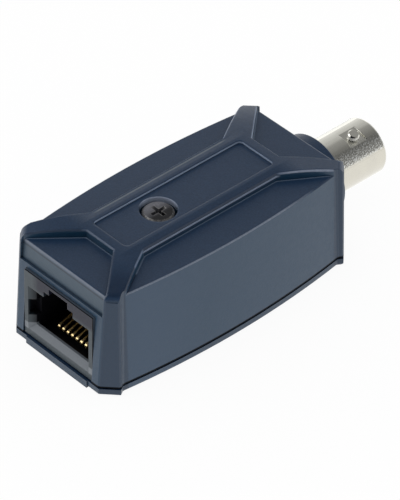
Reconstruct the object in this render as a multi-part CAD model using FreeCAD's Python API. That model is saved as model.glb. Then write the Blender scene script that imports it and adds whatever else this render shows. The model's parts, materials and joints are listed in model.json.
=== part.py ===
import FreeCAD, Part
import math
import os
from FreeCAD import Vector

# Ethernet over coax extender: a moulded two-part housing with a modular jack at its
# front end (-Y) and a bayonet coax connector at its rear end (+Y).
# Millimetres, +Z up, origin at the centre of the housing's flat underside.

# Housing plan at the joint between housing and cover
housing_length = 51.2
end_face_width = 18.8
corner_width = 23.7
corner_run = 2.35
wall_end_width = 22.7
wall_end_setback = 3.15
bowed_width = 25.8
column_edge_bevel = 0.25

# How far each plan point leans in (or out) between the joint and the roof corners
end_lean = 1.03
end_face_spread = 0.15
corner_lean = 0.75
corner_creep = 0.15
wall_end_lean = 0.82
wall_end_creep = 0.45
bow_lean = 0.93

# Heights of the housing
joint_height = 1.6
lean_height = 16.6
frame_height = 19.7
facet_drop = 1.38
facet_fall = 0.22
roof_thickness = 1.6

# The roof's corners curve down from the frame and turn over into the corner columns
roof_corner_radius = 31.0
corner_round = 1.0

# Raised frame on the roof and the recessed panel inside it
frame_half_width = 6.0
frame_end_gap = 8.55
frame_end_edge = 3.0
frame_corner_run = 3.45
frame_edge_bevel = 0.22
wall_top_bevel = 0.2
panel_side_border = 2.15
panel_end_border = 1.85
panel_depth = 0.47
panel_corner_radius = 0.8

# Ribs run from the frame's corners to the corner columns, this far inside the housing's plan
rib_column_gap_x = 1.1
rib_column_gap_y = 1.7

# Brow pocket above the jack, and the same pocket above the rear boss
brow_side_gap = 0.15
brow_top_setback = 1.55
brow_foot_setback = 1.27
brow_foot_height = 14.72
brow_edge_radius = 0.45

# Walls
side_wall = 1.5
end_wall = 1.8

# Rear boss and the coax connector's axis
connector_height = 8.59
boss_radius = 6.96
boss_stand_out = 2.6
boss_edge_bevel = 0.3

# Cover
cover_edge_height = 1.3
reveal_depth = 0.45
cover_bevel = 0.35
cover_pad_half_width = 6.9
cover_pad_proud = 0.2
tongue_height = 1.3
tongue_thickness = 0.8
tongue_clearance = 0.1

# Screw and its post
screw_y = -5.25
screw_head_radius = 2.5
screw_head_height = 1.5
screw_head_sink = 0.3
counterbore_radius = 2.95
screw_shank_radius = 1.3
screw_length = 10.0
screw_hole_radius = 1.5
screw_recess_length = 2.9
screw_recess_width = 0.62
screw_recess_depth = 1.1
head_edge_bevel = 0.3
post_radius = 2.4
pilot_radius = 1.3
post_seat_wall = 1.3
housing_boss_radius = 3.7

# Jack
jack_width = 15.36
jack_height = 12.2
jack_depth = 16.0
jack_face_setback = 0.25
jack_clearance = 0.12
mouth_half_width = 5.94
mouth_bottom = 3.57
mouth_top = 11.1
lead_in = 0.92
key_half_width = 3.3
key_top = 12.15
latch_half_width = 2.1
latch_top = 13.3
plug_depth = 12.0
latch_depth = 8.0
side_notch_bottom = 5.43
side_notch_top = 8.45
side_notch_depth = 0.45
side_notch_lip = 0.3
pit_start = 1.35
pit_height = 2.15
pit_margin = 0.25
jack_back_height = 12.6
jack_back_margin = 0.9
jack_rail_width = 1.2
jack_rail_height = 1.2
jack_rail_front = 4.0

# Contacts
contact_count = 8
contact_pitch = 1.016
contact_width = 0.46
contact_thickness = 0.3
contact_tip_depth = 3.0
contact_tip_height = 3.3
contact_heel_back = 1.0
contact_heel_drop = 0.75
contact_bend_radius = 0.4
contact_rise_depth = 12.75
contact_rise_height = 6.55
contact_foot_rise_depth = 13.45
contact_foot_end_depth = 17.4
carrier_front_depth = 12.35
carrier_clearance = 0.05
carrier_slot_gap = 0.08
carrier_slot_floor = 6.0

# Board
board_thickness = 1.6
board_half_width = 9.3
board_flange_gap = 0.2
board_front_setback = 5.1
board_jack_gap = 0.15
board_post_gap = 0.3
board_rest_y = (-8.2, 10.0)
board_rest_half_width = 0.9
board_rest_inner_x = 7.2
board_wall_gap = 0.15

# Coax connector
sleeve_radius = 4.8
sleeve_bore_radius = 4.1
connector_reach = 11.1
sleeve_depth = 8.3
rim_round = 0.35
boss_bore_gap = 0.1
flange_radius = 6.3
flange_setback = 3.0
flange_thickness = 1.6
lug_radius = 0.95
lug_tip_radius = 5.5
lug_setback = 4.35
lug_angle = 74.5
lug_flat_length = 3.4
lug_flat_depth = 0.26
lug_edge_bevel = 0.2
leg_width = 1.5
leg_spread = 4.2
leg_length = 3.4
leg_height = 1.1
core_radius = 2.6
insulator_base_radius = 4.0
insulator_base_length = 1.0
insulator_radius = 2.3
insulator_setback = 1.9
contact_socket_radius = 0.75
contact_socket_bore = 0.5
contact_socket_depth = 4.5
centre_contact_setback = 2.3
centre_pin_radius = 0.5
centre_pin_length = 2.6

# Parts on the board: length along Y, width along X, height, and centre X, Y
lan_transformer_size = (12.7, 9.5, 5.6)
lan_transformer_at = (0.0, 5.4)
modem_chip_size = (10.0, 10.0, 1.4)
modem_chip_at = (0.0, 5.0)
coax_transformer_size = (4.6, 6.0, 3.6)
coax_transformer_at = (-4.2, 15.0)
crystal_size = (5.0, 3.0, 1.3)
crystal_at = (7.6, 3.0)
surge_arrester_radius = 2.3
surge_arrester_length = 4.6
surge_arrester_at = (-6.0, -4.0)
power_inductor_size = (4.8, 4.8, 2.8)
power_inductor_at = (2.9, 14.6)
capacitor_radius = 1.9
capacitor_height = 5.2
capacitor_at = ((6.4, -4.2), (7.1, 19.1))
part_skin = 0.4
lead_pitch = 1.27
lead_width = 0.42
lead_thickness = 0.2
lead_reach = 1.1

# Worked-out sizes
housing_half_length = housing_length / 2
frame_half_length = housing_half_length - frame_end_gap
frame_side_edge = frame_half_length - frame_corner_run
panel_half_width = frame_half_width - panel_side_border
panel_half_length = frame_half_length - panel_end_border
brow_half_width = end_face_width / 2 - brow_side_gap
brow_top_y = housing_half_length - brow_top_setback
brow_foot_y = housing_half_length - brow_foot_setback
rib_side_x = corner_width / 2 - rib_column_gap_x
rib_side_y = housing_half_length - corner_run - rib_column_gap_y
board_top = connector_height - centre_pin_radius
board_bottom = board_top - board_thickness
corner_height = joint_height + lean_height
facet_inner_height = frame_height - facet_drop
facet_outer_height = facet_inner_height - facet_fall
ceiling_height = facet_outer_height - roof_thickness
jack_face_y = jack_face_setback - housing_half_length
contact_tip_y = jack_face_y + contact_tip_depth
contact_rise_y = jack_face_y + contact_rise_depth
contact_foot_rise_y = jack_face_y + contact_foot_rise_depth
contact_foot_end_y = jack_face_y + contact_foot_end_depth
carrier_front_y = jack_face_y + carrier_front_depth
board_arm_front_y = board_front_setback - housing_half_length
boss_end_y = housing_half_length + boss_stand_out
connector_end_y = boss_end_y + connector_reach
sleeve_floor_y = connector_end_y - sleeve_depth
lug_y = connector_end_y - lug_setback
insulator_end_y = connector_end_y - insulator_setback
centre_contact_end_y = connector_end_y - centre_contact_setback
flange_front_y = housing_half_length - flange_setback
flange_rear_y = flange_front_y - flange_thickness
centre_pin_end_y = flange_rear_y - centre_pin_length
board_rear_y = flange_rear_y - board_flange_gap
panel_floor = frame_height - panel_depth
head_top = panel_floor - screw_head_sink
head_seat = head_top - screw_head_height
post_top = head_seat - post_seat_wall
jack_half = jack_width / 2
jack_top = joint_height + jack_height
jack_rear_y = jack_face_y + jack_depth
over = 6.0
cross_sides = (-1, 1)


def box(x0, x1, y0, y1, z0, z1):
    """A block between two corners."""
    return Part.makeBox(x1 - x0, y1 - y0, z1 - z0, Vector(x0, y0, z0))


def polygon_face(points):
    """A flat face from corner points."""
    vectors = [Vector(*p) for p in points]
    return Part.Face(Part.makePolygon(vectors + [vectors[0]]))


def prism(points, direction):
    """A flat outline carried along a direction."""
    return polygon_face(points).extrude(Vector(*direction))


def fused(shapes):
    """All shapes joined into one, with leftover seams removed."""
    body = shapes[0]
    for shape in shapes[1:]:
        body = body.fuse(shape)
    return body.removeSplitter()


def mirrored_y(shape):
    """The same shape at the other end of the housing."""
    return shape.mirror(Vector(0, 0, 0), Vector(0, 1, 0))


def mirrored_x(shape):
    """The same shape on the other side of the housing."""
    return shape.mirror(Vector(0, 0, 0), Vector(1, 0, 0))


def axis_revolve(profile):
    """Revolve (radius, y) points about the connector's axis."""
    points = [(r, y, connector_height) for r, y in profile]
    face = polygon_face(points)
    return face.revolve(Vector(0, 0, connector_height), Vector(0, 1, 0), 360)


def plan_sizes(z):
    """Half sizes of the housing's plan at a height, with the walls' lean."""
    share = (z - joint_height) / (corner_height - joint_height)
    half = housing_half_length
    return {
        "end_x": end_face_width / 2 + end_face_spread * share,
        "end_y": half - end_lean * share,
        "corner_x": corner_width / 2 - corner_lean * share,
        "corner_y": half - corner_run - corner_creep * share,
        "wall_x": wall_end_width / 2 - wall_end_lean * share,
        "wall_y": half - wall_end_setback - wall_end_creep * share,
        "mid_x": bowed_width / 2 - bow_lean * share,
    }


def plan_wire(z, plan_z, inset=0.0):
    """Closed housing plan: chamfered corner columns and bowed side walls."""
    s = plan_sizes(plan_z)
    ex, ey = s["end_x"] - inset * 0.4, s["end_y"] - inset
    cx, cy = s["corner_x"] - inset, s["corner_y"] - inset * 0.4
    wx, wy = s["wall_x"] - inset, s["wall_y"] - inset * 0.4
    mx = s["mid_x"] - inset
    right = [(ex, -ey), (cx, -cy), (wx, -wy)]
    left = [(-x, y) for x, y in reversed(right)]
    far_right = [(x, -y) for x, y in reversed(right)]
    far_left = [(x, -y) for x, y in reversed(left)]
    edges = []

    def line(a, b):
        edges.append(Part.LineSegment(Vector(a[0], a[1], z), Vector(b[0], b[1], z)).toShape())

    def chain(points):
        for a, b in zip(points, points[1:]):
            line(a, b)

    line(left[-1], right[0])
    chain(right)
    edges.append(Part.Arc(Vector(wx, -wy, z), Vector(mx, 0, z), Vector(wx, wy, z)).toShape())
    chain(far_right)
    line(far_right[-1], far_left[0])
    chain(far_left)
    edges.append(Part.Arc(Vector(-wx, wy, z), Vector(-mx, 0, z), Vector(-wx, -wy, z)).toShape())
    chain(left)
    return Part.Wire(edges)


def bevelled_columns(body, bevel):
    """Soften the upright edges of the corner columns and the end faces."""
    corner_start = housing_half_length - wall_end_setback - wall_end_creep - column_edge_bevel
    uprights = []
    for edge in body.Edges:
        low, high = sorted((edge.Vertexes[0].Z, edge.Vertexes[-1].Z))
        if high - low > bevel and abs(edge.CenterOfMass.y) > corner_start:
            uprights.append(edge)
    return body.makeChamfer(bevel, uprights)


def cavity_wire(z):
    """Plan of the hollow inside the housing at a height."""
    s = plan_sizes(z)
    ex, ey = s["end_x"] - side_wall / 4, s["end_y"] - end_wall
    wx, wy = s["wall_x"] - side_wall, s["wall_y"]
    mx = s["mid_x"] - side_wall
    edges = []
    corners = [(wx, wy), (ex, ey), (-ex, ey), (-wx, wy)]
    for a, b in zip(corners, corners[1:]):
        edges.append(Part.LineSegment(Vector(a[0], a[1], z), Vector(b[0], b[1], z)).toShape())
    edges.append(Part.Arc(Vector(-wx, wy, z), Vector(-mx, 0, z), Vector(-wx, -wy, z)).toShape())
    corners = [(-wx, -wy), (-ex, -ey), (ex, -ey), (wx, -wy)]
    for a, b in zip(corners, corners[1:]):
        edges.append(Part.LineSegment(Vector(a[0], a[1], z), Vector(b[0], b[1], z)).toShape())
    edges.append(Part.Arc(Vector(wx, -wy, z), Vector(mx, 0, z), Vector(wx, wy, z)).toShape())
    return Part.Wire(edges)


def cut_roof_corners(body):
    """Curve the roof down from each frame corner and round it over into the corner column."""
    s = plan_sizes(corner_height)
    diagonal = math.sqrt(0.5)
    run = ((s["end_x"] - frame_half_width) + (s["end_y"] - frame_half_length)) * diagonal
    reach = run * 2
    top = frame_height + over

    def roof(along):
        return frame_height - roof_corner_radius + math.sqrt(roof_corner_radius**2 - along**2)

    turn_start = run - corner_round
    turn_end = roof(run) - corner_round
    turn = corner_round * (1 - math.sqrt(0.5))
    for sx in cross_sides:
        for sy in cross_sides:
            out = Vector(sx * diagonal, sy * diagonal, 0)
            across = Vector(-sy * diagonal, sx * diagonal, 0)
            start = Vector(sx * frame_half_width, sy * frame_half_length, 0) - across * reach

            def at(along, z):
                return start + out * along + Vector(0, 0, z)

            crown = [at(0, frame_height), at(turn_start / 2, roof(turn_start / 2)),
                     at(turn_start, roof(turn_start))]
            bend = [crown[-1], at(run - turn, roof(run) - turn), at(run, turn_end)]
            rest = [bend[-1], at(reach, turn_end), at(reach, top), at(0, top), crown[0]]
            edges = [Part.Arc(*crown).toShape(), Part.Arc(*bend).toShape()]
            edges += [Part.LineSegment(p, q).toShape() for p, q in zip(rest, rest[1:])]
            body = body.cut(Part.Face(Part.Wire(edges)).extrude(across * reach * 2))
    return body


def end_pocket():
    """Space over the front facet and the brow: a sloping floor, a rounded edge, a set-back face."""
    reach = brow_top_y + over
    top = frame_height + over
    slope = (facet_inner_height - facet_outer_height) / (brow_top_y - frame_half_length)
    inner = Vector(0, -frame_half_length, facet_inner_height)
    brow = Vector(0, -brow_top_y, facet_outer_height)
    foot = Vector(0, -brow_foot_y, brow_foot_height)
    to_inner = (inner - brow).normalize()
    to_foot = (foot - brow).normalize()
    turn = math.pi - to_inner.getAngle(to_foot)
    setback = brow_edge_radius * math.tan(turn / 2)
    start = brow + to_inner * setback
    end = brow + to_foot * setback
    towards = (to_inner + to_foot).normalize()
    centre = brow + towards * (brow_edge_radius / math.cos(turn / 2))
    middle = centre - towards * brow_edge_radius
    corners = [end, foot, Vector(0, -reach, brow_foot_height), Vector(0, -reach, top)]
    corners += [Vector(0, -frame_half_length, top), inner, start]
    edges = [Part.Arc(start, middle, end).toShape()]
    for a, b in zip(corners, corners[1:]):
        edges.append(Part.LineSegment(a, b).toShape())
    profile = Part.Face(Part.Wire(edges))
    profile.translate(Vector(-brow_half_width, 0, 0))
    band = profile.extrude(Vector(2 * brow_half_width, 0, 0))
    outline = [
        (-frame_end_edge, -frame_half_length),
        (frame_end_edge, -frame_half_length),
        (brow_half_width, -brow_top_y),
        (brow_half_width, -reach),
        (-brow_half_width, -reach),
        (-brow_half_width, -brow_top_y),
    ]
    bottom = brow_foot_height - slope
    return band.common(prism([(x, y, bottom) for x, y in outline], (0, 0, top - bottom)))


def side_pocket():
    """Space over the +X facet: from the frame's edge and the ribs out over the bowed wall."""
    top = frame_height + over
    slope = (facet_inner_height - facet_outer_height) / (rib_side_x - frame_half_width)
    far_x = bowed_width
    low = facet_inner_height - slope * (far_x - frame_half_width)
    rib_ratio = (rib_side_y - frame_side_edge) / (rib_side_x - frame_half_width)
    end_x = corner_width / 2 + 1
    end_y = frame_side_edge + rib_ratio * (end_x - frame_half_width)
    outline = [
        (frame_half_width, -frame_side_edge),
        (end_x, -end_y),
        (far_x, -end_y),
        (far_x, end_y),
        (end_x, end_y),
        (frame_half_width, frame_side_edge),
    ]
    column = prism([(x, y, low) for x, y in outline], (0, 0, top - low))
    section = [
        (frame_half_width, -end_y, facet_inner_height),
        (far_x, -end_y, low),
        (far_x, -end_y, top),
        (frame_half_width, -end_y, top),
    ]
    return column.common(prism(section, (0, 2 * end_y, 0)))


def panel_pocket():
    """Shallow rounded rectangle inside the frame."""
    block = box(-panel_half_width, panel_half_width, -panel_half_length, panel_half_length,
                panel_floor, frame_height + over)
    uprights = [e for e in block.Edges if abs(e.Vertexes[0].Z - e.Vertexes[1].Z) > over / 2]
    return block.makeFillet(panel_corner_radius, uprights)


def steepness(face, edge):
    """How level a face lies beside an edge: 1 for a flat roof, 0 for an upright wall."""
    middle = edge.valueAt((edge.FirstParameter + edge.LastParameter) / 2)
    return abs(face.normalAt(*face.Surface.parameter(middle)).z)


def bevelled_roof(body):
    """Soften the edges of the frame and its ribs, then the top edges of the two bowed walls."""
    turn_length = corner_round * math.pi / 2
    frame_edges = []
    for edge in body.Edges:
        if edge.Length < turn_length * 1.05 or edge.BoundBox.ZMin < facet_inner_height + 0.05:
            continue
        levels = sorted(steepness(face, edge) for face in body.ancestorsOfType(edge, Part.Face))
        if levels[0] < 1e-6 and levels[-1] > 0.9:
            frame_edges.append(edge)
    body = body.makeChamfer(frame_edge_bevel, frame_edges)
    wall_x = plan_sizes(facet_outer_height)["wall_x"]
    wall_tops = []
    for edge in body.Edges:
        middle = edge.valueAt((edge.FirstParameter + edge.LastParameter) / 2)
        if abs(middle.x) > wall_x and edge.Length > housing_half_length / 2:
            if abs(middle.z - facet_outer_height) < facet_fall:
                wall_tops.append(edge)
    return body.makeChamfer(wall_top_bevel, wall_tops)


def rear_boss():
    """Round boss on the rear wall with a softened end."""
    start = housing_half_length - end_wall - end_lean / 2
    boss = Part.makeCylinder(boss_radius, boss_end_y - start, Vector(0, start, connector_height),
                             Vector(0, 1, 0))
    rim = [e for e in boss.Edges if abs(e.BoundBox.YMin - boss_end_y) < 1e-6]
    return boss.makeChamfer(boss_edge_bevel, rim)


def board_stops(z0, z1, gap):
    """Short ribs beside the board's edges, from height z0 to z1."""
    stops = []
    for y in board_rest_y:
        for side in cross_sides:
            s = plan_sizes(board_top)
            outer = s["wall_x"] - gap
            x0, x1 = sorted((side * board_rest_inner_x, side * outer))
            stops.append(box(x0, x1, y - board_rest_half_width, y + board_rest_half_width, z0, z1))
    return stops


def top_housing():
    """Moulded shell: leaning bowed walls, roof frame, ribs, facets, brow and rear boss."""
    outer = Part.makeLoft([plan_wire(joint_height, joint_height),
                           plan_wire(frame_height, frame_height)], True, True)
    outer = cut_roof_corners(bevelled_columns(outer, column_edge_bevel))
    front = end_pocket()
    right = side_pocket()
    for pocket in (front, mirrored_y(front), right, mirrored_x(right)):
        outer = outer.cut(pocket)
    outer = bevelled_roof(outer.removeSplitter())
    outer = outer.cut(panel_pocket())
    outer = outer.fuse(rear_boss())
    cavity = Part.makeLoft([cavity_wire(joint_height), cavity_wire(ceiling_height)], True, True)
    shell = outer.cut(cavity)
    ribs = board_stops(board_top, ceiling_height + side_wall / 2, side_wall / 2)
    ribs.append(Part.makeCylinder(housing_boss_radius, ceiling_height + side_wall / 2 - post_top,
                                  Vector(0, screw_y, post_top)))
    ribs.append(Part.makeCylinder(boss_radius, housing_half_length - end_wall / 2 - flange_front_y,
                                  Vector(0, flange_front_y, connector_height), Vector(0, 1, 0)))
    shell = fused([shell] + ribs)
    opening_half = jack_half + jack_clearance
    shell = shell.cut(box(-opening_half, opening_half, jack_face_y - over, -brow_top_y + end_wall * 2,
                          joint_height - over, jack_top + jack_clearance))
    bore = sleeve_radius + boss_bore_gap
    shell = shell.cut(Part.makeCylinder(bore, boss_end_y, Vector(0, flange_front_y, connector_height),
                                        Vector(0, 1, 0)))
    shell = shell.cut(Part.makeCylinder(counterbore_radius, frame_height - head_seat,
                                        Vector(0, screw_y, head_seat)))
    shell = shell.cut(Part.makeCylinder(screw_hole_radius, frame_height,
                                        Vector(0, screw_y, post_top - over)))
    return shell.removeSplitter()


def bottom_cover():
    """Cover plate with a bevelled foot, a reveal at the joint, a tongue, rests and the screw post."""
    foot = Part.makeLoft([plan_wire(0, joint_height, cover_bevel),
                          plan_wire(cover_bevel, joint_height)], True, True)
    edge = Part.Face(plan_wire(cover_bevel, joint_height))
    edge = edge.extrude(Vector(0, 0, cover_edge_height - cover_bevel))
    land = Part.Face(plan_wire(cover_edge_height, joint_height, reveal_depth))
    land = land.extrude(Vector(0, 0, joint_height - cover_edge_height))
    pad = box(-cover_pad_half_width, cover_pad_half_width, -housing_half_length - cover_pad_proud,
              -housing_half_length + end_wall, 0, cover_edge_height)
    tongue_outer = tongue_ring(joint_height, tongue_clearance)
    tongue_inner = tongue_ring(joint_height, tongue_clearance + tongue_thickness)
    tongue = tongue_outer.cut(tongue_inner)
    jack_bay = jack_half + jack_clearance
    tongue = tongue.cut(box(-jack_bay, jack_bay, -housing_length, jack_rear_y,
                            joint_height - 1, joint_height + over))
    tongue = tongue.cut(box(-boss_radius, boss_radius, flange_front_y - end_wall * 2, housing_length,
                            joint_height - 1, joint_height + over))
    pieces = [foot, edge, land, pad, tongue]
    pieces += board_stops(joint_height - cover_edge_height / 2, board_bottom,
                          side_wall + tongue_clearance + tongue_thickness / 2)
    pieces.append(Part.makeCylinder(post_radius, post_top - joint_height / 2,
                                    Vector(0, screw_y, joint_height / 2)))
    cover = fused(pieces)
    pilot_depth = screw_length + screw_head_height
    return cover.cut(Part.makeCylinder(pilot_radius, pilot_depth,
                                       Vector(0, screw_y, post_top - pilot_depth)))


def tongue_ring(z, inset):
    """Solid plug that follows the hollow's plan, smaller by an inset."""
    s = plan_sizes(joint_height + tongue_height)
    wx, wy = s["wall_x"] - side_wall - inset, s["wall_y"] - inset
    mx = s["mid_x"] - side_wall - inset
    ex, ey = s["end_x"] - side_wall / 4 - inset, s["end_y"] - end_wall - inset
    edges = []
    corners = [(wx, wy), (ex, ey), (-ex, ey), (-wx, wy)]
    for a, b in zip(corners, corners[1:]):
        edges.append(Part.LineSegment(Vector(a[0], a[1], z), Vector(b[0], b[1], z)).toShape())
    edges.append(Part.Arc(Vector(-wx, wy, z), Vector(-mx, 0, z), Vector(-wx, -wy, z)).toShape())
    corners = [(-wx, -wy), (-ex, -ey), (ex, -ey), (wx, -wy)]
    for a, b in zip(corners, corners[1:]):
        edges.append(Part.LineSegment(Vector(a[0], a[1], z), Vector(b[0], b[1], z)).toShape())
    edges.append(Part.Arc(Vector(wx, -wy, z), Vector(mx, 0, z), Vector(wx, wy, z)).toShape())
    return Part.Face(Part.Wire(edges)).extrude(Vector(0, 0, tongue_height))


def cover_screw():
    """Flat-headed screw with a cross recess, standing in the roof's counterbore."""
    shank_end = head_seat - screw_length
    tip = screw_shank_radius * 0.6
    points = [
        Vector(0, 0, shank_end - tip),
        Vector(screw_shank_radius - 0.02, 0, shank_end),
        Vector(screw_shank_radius - 0.02, 0, head_seat),
        Vector(screw_head_radius, 0, head_seat),
        Vector(screw_head_radius, 0, head_top - head_edge_bevel),
        Vector(screw_head_radius - head_edge_bevel, 0, head_top),
        Vector(0, 0, head_top),
    ]
    profile = Part.makePolygon(points + [points[0]])
    screw = Part.Face(profile).revolve(Vector(0, 0, 0), Vector(0, 0, 1), 360)
    half_length = screw_recess_length / 2
    half_width = screw_recess_width / 2
    floor = head_top - screw_recess_depth
    taper = half_length * 0.45
    blade = prism([
        (-half_length, -half_width, head_top + 0.1),
        (half_length, -half_width, head_top + 0.1),
        (half_length - taper, -half_width, floor),
        (-half_length + taper, -half_width, floor),
    ], (0, screw_recess_width, 0))
    for angle in (0, 90):
        turned = blade.copy()
        turned.rotate(Vector(0, 0, 0), Vector(0, 0, 1), angle)
        screw = screw.cut(turned)
    screw.translate(Vector(0, screw_y, 0))
    return screw


def jack_housing():
    """Modular jack body: chamfered mouth, keyed top, side notches, contact pit, open back, side rails."""
    block = box(-jack_half, jack_half, jack_face_y, jack_rear_y, joint_height, jack_top)
    rail_front = jack_face_y + jack_rail_front
    for side in cross_sides:
        x0, x1 = sorted((side * (jack_half - 0.1), side * (jack_half + jack_rail_width)))
        block = block.fuse(box(x0, x1, rail_front, jack_rear_y, board_top, board_top + jack_rail_height))
    mouth_end = jack_face_y + plug_depth
    block = block.cut(box(-mouth_half_width, mouth_half_width, jack_face_y - 1, mouth_end,
                          mouth_bottom, mouth_top))
    latch_end = jack_face_y + latch_depth
    block = block.cut(box(-key_half_width, key_half_width, jack_face_y - 1, latch_end,
                          mouth_bottom, key_top))
    block = block.cut(box(-latch_half_width, latch_half_width, jack_face_y - 1, latch_end,
                          mouth_bottom, latch_top))
    wide = mouth_half_width + lead_in
    outer = Part.makePolygon([
        Vector(-wide, jack_face_y, mouth_bottom - lead_in),
        Vector(wide, jack_face_y, mouth_bottom - lead_in),
        Vector(wide, jack_face_y, mouth_top),
        Vector(-wide, jack_face_y, mouth_top),
        Vector(-wide, jack_face_y, mouth_bottom - lead_in),
    ])
    inner_y = jack_face_y + lead_in
    inner = Part.makePolygon([
        Vector(-mouth_half_width, inner_y, mouth_bottom),
        Vector(mouth_half_width, inner_y, mouth_bottom),
        Vector(mouth_half_width, inner_y, mouth_top),
        Vector(-mouth_half_width, inner_y, mouth_top),
        Vector(-mouth_half_width, inner_y, mouth_bottom),
    ])
    block = block.cut(Part.makeLoft([outer, inner], True, True))
    for side in cross_sides:
        x0, x1 = sorted((side * (mouth_half_width - 0.2), side * wide))
        block = block.cut(box(x0, x1, jack_face_y - 1, inner_y + lead_in,
                              side_notch_bottom, side_notch_top))
        deep = wide + side_notch_depth
        x0, x1 = sorted((side * (mouth_half_width - 0.2), side * deep))
        block = block.cut(box(x0, x1, jack_face_y + side_notch_lip, inner_y + lead_in,
                              side_notch_bottom, side_notch_top))
    pit_half = mouth_half_width - pit_margin
    block = block.cut(box(-pit_half, pit_half, jack_face_y + pit_start, mouth_end,
                          pit_height, mouth_bottom + 0.1))
    back_half = jack_half - jack_back_margin
    block = block.cut(box(-back_half, back_half, carrier_front_y, jack_rear_y + 1,
                          pit_height, jack_back_height))
    block = block.cut(box(-pit_half, pit_half, mouth_end - 0.1, carrier_front_y + 0.1,
                          pit_height, mouth_top))
    return block.removeSplitter()


def contact_section(x):
    """One spring contact: heel in the pit, tip bend, rising wire, foot on the board."""
    foot_height = board_top + contact_thickness / 2
    route = [
        Vector(x, contact_tip_y + contact_heel_back, contact_tip_height - contact_heel_drop),
        Vector(x, contact_tip_y, contact_tip_height),
        Vector(x, contact_rise_y, contact_rise_height),
        Vector(x, contact_foot_rise_y, foot_height),
        Vector(x, contact_foot_end_y, foot_height),
    ]
    path = rounded_path(route, contact_bend_radius)
    first = (route[1] - route[0]).normalize()
    up = Vector(1, 0, 0).cross(first)
    half_w = Vector(contact_width / 2, 0, 0)
    half_t = up * (contact_thickness / 2)
    corners = [route[0] - half_w - half_t, route[0] + half_w - half_t,
               route[0] + half_w + half_t, route[0] - half_w + half_t]
    section = Part.makePolygon(corners + [corners[0]])
    return path.makePipeShell([section], True, False)


def rounded_path(points, radius):
    """Straight runs joined by tangent arcs of one radius, as large as the runs allow."""
    edges = []
    start = points[0]
    for before, corner, after in zip(points, points[1:], points[2:]):
        to_before = (before - corner).normalize()
        to_after = (after - corner).normalize()
        half_turn = (math.pi - to_before.getAngle(to_after)) / 2
        room = 0.45 * min(before.distanceToPoint(corner), after.distanceToPoint(corner))
        trim = min(radius * math.tan(half_turn), room)
        bend = trim / math.tan(half_turn)
        a = corner + to_before * trim
        b = corner + to_after * trim
        towards = (to_before + to_after).normalize()
        centre = corner + towards * (bend / math.cos(half_turn))
        edges.append(Part.LineSegment(start, a).toShape())
        edges.append(Part.Arc(a, centre - towards * bend, b).toShape())
        start = b
    edges.append(Part.LineSegment(start, points[-1]).toShape())
    return Part.Wire(edges)


def contact_x(index):
    """Place of a contact across the jack."""
    return (index - (contact_count - 1) / 2) * contact_pitch


def jack_contacts():
    """The row of equal contacts."""
    return [contact_section(contact_x(i)) for i in range(contact_count)]


def jack_contact_carrier():
    """Moulded insert in the jack's back with a slot for each contact."""
    half = jack_half - jack_back_margin - carrier_clearance
    block = box(-half, half, carrier_front_y + carrier_clearance, jack_rear_y,
                pit_height, jack_back_height - carrier_clearance)
    slot_half = contact_width / 2 + carrier_slot_gap
    slot_top = board_top + contact_thickness + carrier_slot_gap
    for i in range(contact_count):
        x = contact_x(i)
        bend_y = contact_foot_rise_y + contact_thickness
        block = block.cut(box(x - slot_half, x + slot_half, carrier_front_y - 1, bend_y,
                              carrier_slot_floor, slot_top))
        block = block.cut(box(x - slot_half, x + slot_half, bend_y - 0.1, jack_rear_y + 1,
                              board_top, slot_top))
    return block


def circuit_board():
    """Board with a bay for the jack, a hole for the screw post and slots for the connector's legs."""
    board = box(-board_half_width, board_half_width, board_arm_front_y, board_rear_y,
                board_bottom, board_top)
    bay = jack_half + board_jack_gap
    board = board.cut(box(-bay, bay, board_arm_front_y - 1, jack_rear_y + board_jack_gap,
                          board_bottom - 1, board_top + 1))
    board = board.cut(Part.makeCylinder(post_radius + board_post_gap, board_thickness + 2,
                                        Vector(0, screw_y, board_bottom - 1)))
    return board


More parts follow.
